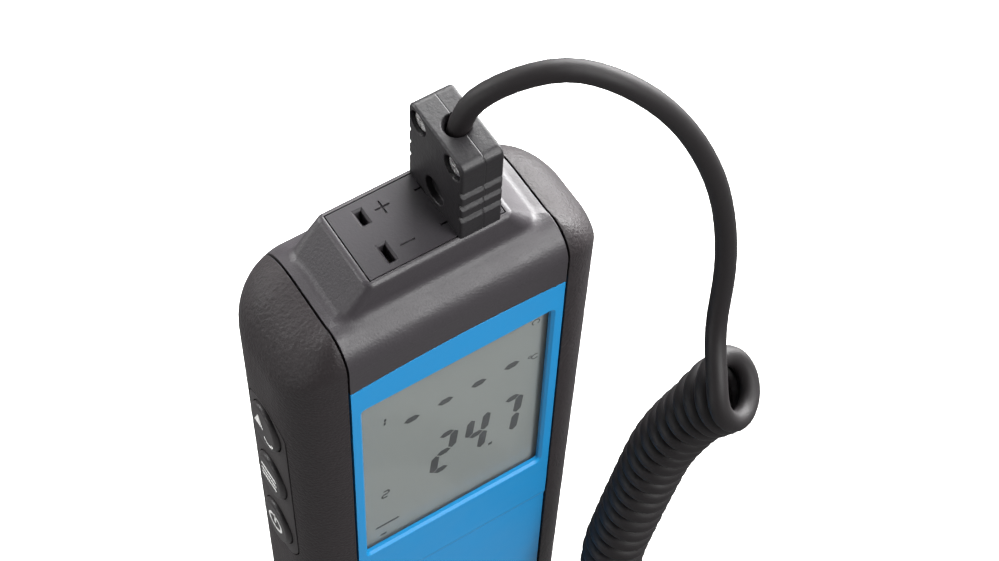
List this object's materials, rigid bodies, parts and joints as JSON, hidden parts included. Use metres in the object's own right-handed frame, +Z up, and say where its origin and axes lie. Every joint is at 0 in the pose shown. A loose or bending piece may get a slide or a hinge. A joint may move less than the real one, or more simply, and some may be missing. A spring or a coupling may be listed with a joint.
{
  "type": "two-input thermocouple thermometer with probe",
  "caption": "Handheld thermocouple thermometer: tapered case with soft grips, front display, side keys, socket block on top, and a flat-pin plug leading by a curly cord to a stem probe.",
  "frame": {"origin": "on the floor, under the middle of the case, which stands on its base", "axes": "+Z up towards the sockets, +X to the right of someone facing the display, +Y to the back"},
  "size_m": [0.2921, 0.0903, 0.194],
  "materials": {
    "case_plastic": "satin, fine moulded grain",
    "grip_rubber": "matt, fine sandy texture",
    "pad_rubber": "matt",
    "key_rubber": "matt, with a light printed symbol",
    "panel_blue": "satin",
    "lens_clear": "clear, glossy",
    "display_glass": "glossy, liquid crystal segments",
    "frame_white": "moulded",
    "board": "green laminate",
    "chip_black": "moulded",
    "switch_black": "moulded",
    "socket_plastic": "satin",
    "contact_metal": "bright",
    "steel_screw": "zinc plated",
    "battery_jacket": "lacquered",
    "snap_plastic": "moulded",
    "snap_metal": "nickel plated",
    "plug_plastic": "satin",
    "plug_metal": "nickel plated",
    "pin_metal": "bright",
    "cord_jacket": "satin",
    "boot_rubber": "matt",
    "handle_plastic": "matt",
    "collar_metal": "nickel plated",
    "sheath_steel": "satin stainless"
  },
  "bodies": {
    "case": {"front_shell": "case_plastic", "rear_shell": "case_plastic", "grip_left": "grip_rubber", "grip_right": "grip_rubber", "key_pad": "pad_rubber", "front_panel": "panel_blue", "display_lens": "lens_clear", "display_glass": "display_glass", "display_frame": "frame_white", "main_board": "board", "key_board": "board", "main_chip": "chip_black", "sounder": "chip_black", "key_switch_1": "switch_black", "key_switch_2": "switch_black", "key_switch_3": "switch_black", "socket_insert": "socket_plastic", "contact_left_pos": "contact_metal", "contact_left_neg": "contact_metal", "contact_right_pos": "contact_metal", "contact_right_neg": "contact_metal", "board_screw_1": "steel_screw", "board_screw_2": "steel_screw", "board_screw_3": "steel_screw", "board_screw_4": "steel_screw", "case_screw_1": "steel_screw", "case_screw_2": "steel_screw", "case_screw_3": "steel_screw", "case_screw_4": "steel_screw", "battery": "battery_jacket", "battery_cap": "snap_plastic", "battery_snap_pos": "snap_metal", "battery_snap_neg": "snap_metal"},
    "top_key": {"key_3": "key_rubber"},
    "middle_key": {"key_2": "key_rubber"},
    "lower_key": {"key_1": "key_rubber"},
    "door": {"battery_door": "case_plastic"},
    "probe_lead": {"plug_cover": "plug_plastic", "plug_base": "plug_plastic", "plug_pin_pos": "pin_metal", "plug_pin_neg": "pin_metal", "plug_screw_1": "plug_metal", "plug_screw_2": "plug_metal", "lead_cord": "cord_jacket", "curly_cord": "cord_jacket", "tail_cord": "cord_jacket", "probe_boot": "boot_rubber", "probe_handle": "handle_plastic", "probe_collar": "collar_metal", "probe_sheath": "sheath_steel"}
  },
  "joints": [
    {"name": "top_key_press", "type": "slide", "parent": "case", "child": "top_key", "axis": [1, 0, 0], "range_m": [0, 0.0006], "stiffness_N_per_m": 2500, "springref_m": -0.0002},
    {"name": "middle_key_press", "type": "slide", "parent": "case", "child": "middle_key", "axis": [1, 0, 0], "range_m": [0, 0.0006], "stiffness_N_per_m": 2500, "springref_m": -0.0002},
    {"name": "lower_key_press", "type": "slide", "parent": "case", "child": "lower_key", "axis": [1, 0, 0], "range_m": [0, 0.0006], "stiffness_N_per_m": 2500, "springref_m": -0.0002},
    {"name": "door_hinge", "type": "hinge", "parent": "case", "child": "door", "pos_m": [0, 0.0133, 0.0098], "axis": [-1, 0, 0], "range_deg": [0, 85]},
    {"name": "plug_pull", "type": "slide", "parent": "case", "child": "probe_lead", "axis": [0, 0, 1], "range_m": [0, 0.013]}
  ]
}
